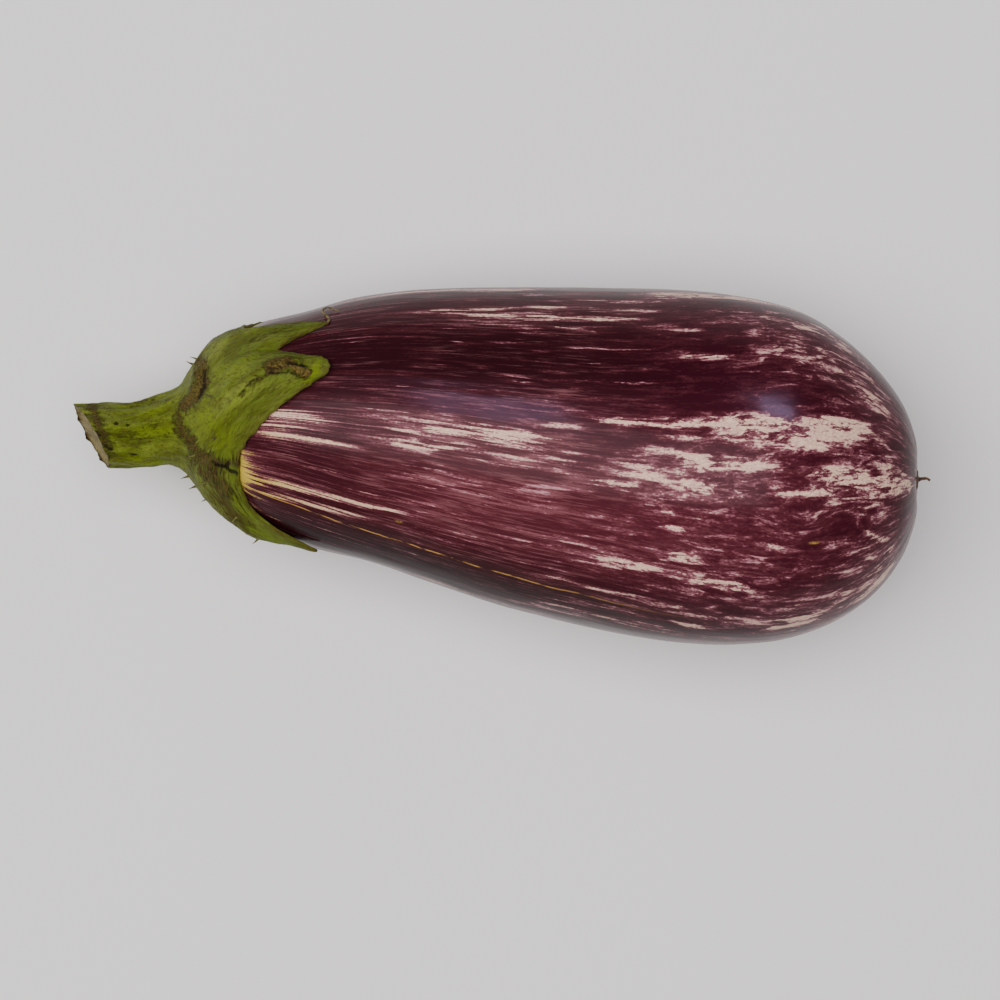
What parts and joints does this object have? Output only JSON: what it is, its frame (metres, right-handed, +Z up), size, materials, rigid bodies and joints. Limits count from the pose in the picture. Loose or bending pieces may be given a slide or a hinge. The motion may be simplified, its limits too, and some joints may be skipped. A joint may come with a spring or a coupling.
{
  "type": "eggplant",
  "caption": "Whole striped eggplant lying on its side: oval glossy fruit, lobed green calyx, obliquely cut stem and a dried flower remnant at the far end.",
  "frame": {"origin": "centre of the bounding box, at the level of the surface it lies on", "axes": "+X along the fruit from the stem to the flower end, +Z up as it lies"},
  "size_m": [0.198, 0.0808, 0.0802],
  "materials": {
    "fruit_skin": "waxy dark purple skin with pale cream streaks, semi-gloss",
    "calyx": "matte yellow-green with dark speckles and brown corky patches",
    "stem": "matte green with brown blotches, pale tan cut face",
    "dried_flower": "dry dark brown cork"
  },
  "bodies": {
    "root": {"fruit": "fruit_skin", "calyx": "calyx", "stem": "stem", "flower_remnant": "dried_flower"}
  },
  "joints": []
}
